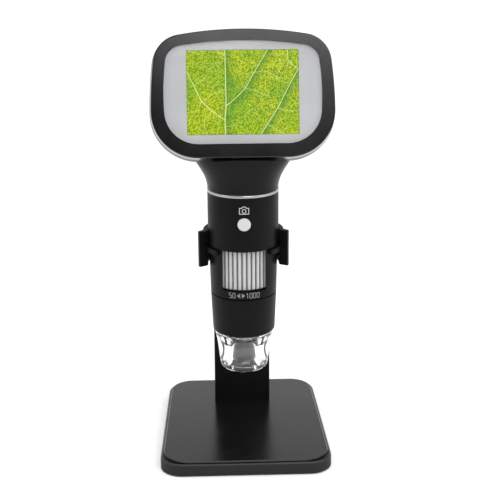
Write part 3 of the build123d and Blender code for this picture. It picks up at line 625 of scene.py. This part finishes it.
def add_capture_icon(materials):
    """A plain camera outline above the picture button."""
    body = resample([(u * MM, v * MM + ICON_Z) for u, v in ICON_BODY], ICON_STEP)[:-1]
    ring = circle((0, ICON_Z + ICON_LENS_V), ICON_LENS_R, ICON_LENS_POINTS)
    parts = [stroke(path, (ICON_LINE, ICON_LINE), on_barrel, INK_LOW, INK_HIGH, closed=True)
             for path in (body, ring)]
    add_piece("capture_icon", *join(parts), materials["ink_grey"], "microscope",
              "key_plastic")


def add_zoom_marks(materials):
    """Plain numbers either side of two arrowheads, under the focus wheel."""
    parts = []
    for text, start in NUMBERS:
        for place, digit in enumerate(text):
            left = MARK_U + start + DIGIT_PITCH * place
            path = [(left + u * DIGIT_W, MARK_Z + v * DIGIT_H / 2) for u, v in DIGITS[digit]]
            parts.append(stroke(resample(path, INK_STEP), (DIGIT_LINE, DIGIT_LINE), on_barrel,
                                INK_LOW, INK_HIGH))
    for side in (-1, 1):
        tip, flat = MARK_U + side * ARROW_TIP, MARK_U + side * ARROW_FLAT
        outline = [(tip, MARK_Z + DIGIT_H / 2), (flat, MARK_Z + DIGIT_H), (flat, MARK_Z)]
        parts.append(prism(outline[::-side], on_barrel, INK_LOW, INK_HIGH))
    add_piece("zoom_marks", *join(parts), materials["ink_faint"], "microscope",
              "key_plastic")


# ---- Signs on the keys behind the display ----
KEY_V, KEY_TOP = 15.5 * MM, 20.8 * MM       # up the face, and depth behind it
KEY_PLACES = {"power_key": -21.0 * MM, "up_key": -7.0 * MM, "down_key": 7.0 * MM,
              "menu_key": 21.0 * MM}
SIGN_LINE = 0.34 * MM
POWER_R, POWER_GAP = 1.3, 40                # in mm and degrees


def key_signs():
    """The strokes of each key's sign, in mm from the key's middle."""
    arc = [(POWER_R * sin(radians(t)), POWER_R * cos(radians(t)))
           for t in range(POWER_GAP, 361 - POWER_GAP, 20)]
    arrow = [(-1.1, -0.6), (0, 0.7), (1.1, -0.6)]
    return {
        "power_key": [arc, [(0, 0.3), (0, 1.6)]],
        "up_key": [arrow],
        "down_key": [[(u, -v) for u, v in arrow]],
        "menu_key": [[(-1.2, v), (1.2, v)] for v in (-0.8, 0, 0.8)],
    }


def behind_face(across):
    """Gives the places on a key's top: to the right as seen from behind, up, and out."""
    middle = FACE_CENTRE + Vector((across, 0, 0)) + FACE_UP * KEY_V - FACE_NORMAL * KEY_TOP

    def place(u, v, height):
        return middle - Vector((u, 0, 0)) + FACE_UP * v - FACE_NORMAL * height

    return place


def add_key_signs(materials):
    for body, strokes in key_signs().items():
        parts = []
        for points in strokes:
            path = [Vector((u * MM, v * MM)) for u, v in points]
            parts.append(stroke(path, (SIGN_LINE, SIGN_LINE), behind_face(KEY_PLACES[body]),
                                INK_LOW, INK_HIGH))
        add_piece("sign_" + body, *join(parts), materials["ink_grey"], body, "key_plastic")


# ---- Floor and light ----
FLOOR_HALF = 0.8
FLOOR_WHITE = 0.97
# Directions where the world changes, from one end of each change to the other, as parts of a
# unit vector.
FRONT_Y, BACK_Y, SIDE_X = (-0.9, -0.4), (0.4, 0.8), (-0.10, 0.10)
DIM_Z, RISE_Z = (0.315, 0.345), (0.36, 0.52)
WORLD_LEVEL, FRONT_LEVEL = 1.0, 0.12    # light from all round, and from low down in front
SIDE_LEVELS = 0.22, 1.5                 # shares of it at the front, from left to right
BACK_LEVELS = 1.15, 0.42                # shares of it at the back, from low to high
MIDDLE = (0, 0, 0.10)
# Name, place, what it's aimed at, width and height, and power in watts.
LAMPS = [
    ("top", (0.0, -0.1, 1.1), MIDDLE, (1.2, 1.2), 4),
    ("key", (0.20, -0.70, 0.685), (0, -0.03, 0.18), (0.66, 0.34), 2.4),
    ("left", (-0.9, -0.5, 0.5), MIDDLE, (0.4, 1.0), 1.2),
    ("right", (0.9, -0.4, 0.5), MIDDLE, (0.4, 1.0), 1.6),
]


def add_stage():
    half = FLOOR_HALF
    mesh = bpy.data.meshes.new("floor")
    mesh.from_pydata([(-half, -half, 0), (half, -half, 0), (half, half, 0), (-half, half, 0)],
                     [], [(0, 1, 2, 3)])
    floor = bpy.data.objects.new("floor", mesh)
    bpy.context.scene.collection.objects.link(floor)
    finish = Finish("floor", specular=0.1)
    finish.set("Roughness", 0.6)
    finish.set("Base Color", (FLOOR_WHITE, FLOOR_WHITE, FLOOR_WHITE, 1))
    mesh.materials.append(finish.material)
    floor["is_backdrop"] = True


def add_lamp(name, place, aim, size, power):
    """A soft box that the camera doesn't see."""
    data = bpy.data.lights.new(name, "AREA")
    data.shape = "RECTANGLE"
    data.size, data.size_y = size
    data.energy = power
    lamp = bpy.data.objects.new(name, data)
    lamp.location = place
    lamp.rotation_euler = (Vector(aim) - Vector(place)).to_track_quat("-Z", "Y").to_euler()
    lamp.visible_camera = False
    bpy.context.scene.collection.objects.link(lamp)


def add_world():
    """White to the camera. To the rest, dim low down in front and dimmer high up behind."""
    world = bpy.data.worlds.new("studio")
    world.use_nodes = True
    nodes, links = world.node_tree.nodes, world.node_tree.links

    def ramp(value, ends, levels):
        """A smooth change between two levels, as the value goes from one end to the other."""
        node = nodes.new("ShaderNodeMapRange")
        node.interpolation_type = "SMOOTHSTEP"
        links.new(value, node.inputs["Value"])
        for key, number in zip(("From Min", "From Max", "To Min", "To Max"), (*ends, *levels)):
            node.inputs[key].default_value = number
        return node.outputs[0]

    def combine(operation, first, second):
        node = nodes.new("ShaderNodeMath")
        node.operation = operation
        links.new(first, node.inputs[0])
        links.new(second, node.inputs[1])
        return node.outputs[0]

    axes = nodes.new("ShaderNodeSeparateXYZ")
    links.new(nodes.new("ShaderNodeTexCoord").outputs["Generated"], axes.inputs[0])
    x, y, z = (axes.outputs[axis] for axis in "XYZ")
    front = ramp(y, FRONT_Y, (1, 0))
    back = ramp(y, BACK_Y, (0, 1))
    low_front = combine("MULTIPLY", front, ramp(z, DIM_Z, (1, 0)))
    level = ramp(low_front, (0, 1), (WORLD_LEVEL, FRONT_LEVEL))
    # The share is 1 between front and back.
    at_front = combine("MULTIPLY", front, ramp(x, SIDE_X, SIDE_LEVELS))
    at_back = combine("MULTIPLY", back, ramp(z, RISE_Z, BACK_LEVELS))
    between = combine("MULTIPLY", ramp(front, (0, 1), (1, 0)), ramp(back, (0, 1), (1, 0)))
    share = combine("ADD", combine("ADD", between, at_back), at_front)
    camera = nodes.new("ShaderNodeLightPath").outputs["Is Camera Ray"]
    links.new(combine("MAXIMUM", combine("MULTIPLY", level, share), camera),
              nodes["Background"].inputs["Strength"])
    nodes["Background"].inputs["Color"].default_value = (1, 1, 1, 1)
    bpy.context.scene.world = world


add_camera()
bpy.context.scene.view_settings.view_transform = "Standard"
materials = make_materials()
dress_nodes(materials)
add_picture(materials)
add_window_border(materials)
add_capture_icon(materials)
add_zoom_marks(materials)
add_key_signs(materials)
add_stage()
add_world()
for lamp in LAMPS:
    add_lamp(*lamp)

[[list(corner) for corner in box] for box in (cad_box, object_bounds())]
